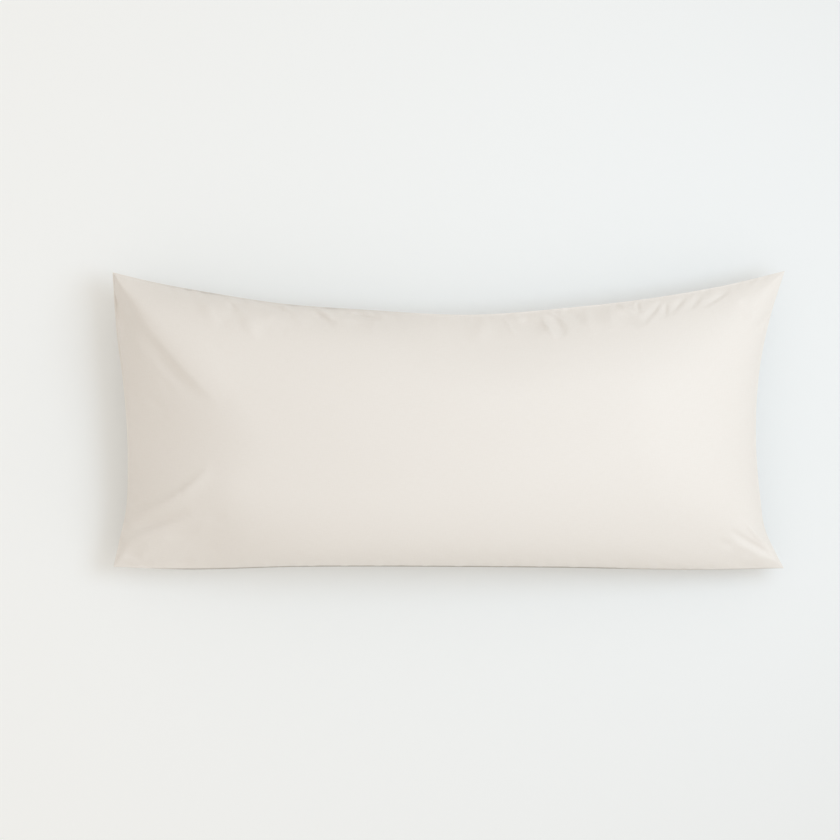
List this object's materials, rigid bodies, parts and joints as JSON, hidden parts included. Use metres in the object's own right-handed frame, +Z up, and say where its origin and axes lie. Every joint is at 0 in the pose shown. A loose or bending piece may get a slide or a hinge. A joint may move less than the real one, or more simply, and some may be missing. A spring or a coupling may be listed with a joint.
{
  "type": "filled pillowcase",
  "caption": "Long plain pillowcase, filled by its pillow and lying on its back: crowned faces, drawn-in sides, knife-edge seam and pointed corners.",
  "frame": {"origin": "on the surface that the pillow lies on, under the middle of its bounding box", "axes": "+X along the long side, +Y from the nearly straight long edge to the drawn-in long edge, +Z up through the crown"},
  "size_m": [0.98, 0.4358, 0.1808],
  "materials": {
    "cloth": "plain closely woven cream cotton, matt with a slight sheen"
  },
  "bodies": {
    "root": {"pillowcase": "cloth"}
  },
  "joints": []
}
